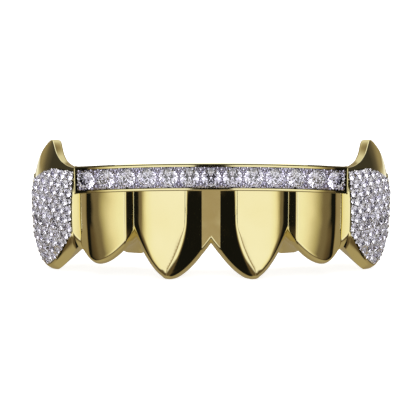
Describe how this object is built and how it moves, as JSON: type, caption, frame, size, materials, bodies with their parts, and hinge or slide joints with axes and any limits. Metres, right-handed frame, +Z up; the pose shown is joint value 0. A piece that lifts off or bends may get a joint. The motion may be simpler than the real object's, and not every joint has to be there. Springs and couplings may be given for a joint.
{
  "type": "fang grillz",
  "caption": "Gold cover for the upper front teeth with pointed fang caps, a curved channel of round clear stones and stone-covered canine caps; hollow behind so that it slips over the teeth.",
  "frame": {"origin": "on the surface that the piece stands on, under the middle of its overall box", "axes": "+X to the right of a viewer who faces the show side, +Y from the show side back into the wearer's mouth, +Z up towards the gums"},
  "size_m": [0.0454, 0.0142, 0.0167],
  "materials": {
    "gold": "mirror-polished pale yellow gold plating",
    "white_metal": "bright rhodium-plated setting",
    "pave": "small clear faceted stones bead-set in white metal",
    "crystal": "clear brilliant-cut zirconia"
  },
  "bodies": {
    "root": {"cast_body": "gold", "stone_rail": "white_metal", "stone_01": "crystal", "stone_02": "crystal", "stone_03": "crystal", "stone_04": "crystal", "stone_05": "crystal", "stone_06": "crystal", "stone_07": "crystal", "stone_08": "crystal", "stone_09": "crystal", "stone_10": "crystal", "stone_11": "crystal", "stone_12": "crystal", "stone_13": "crystal", "pave_left": "pave", "pave_right": "pave"}
  },
  "joints": []
}
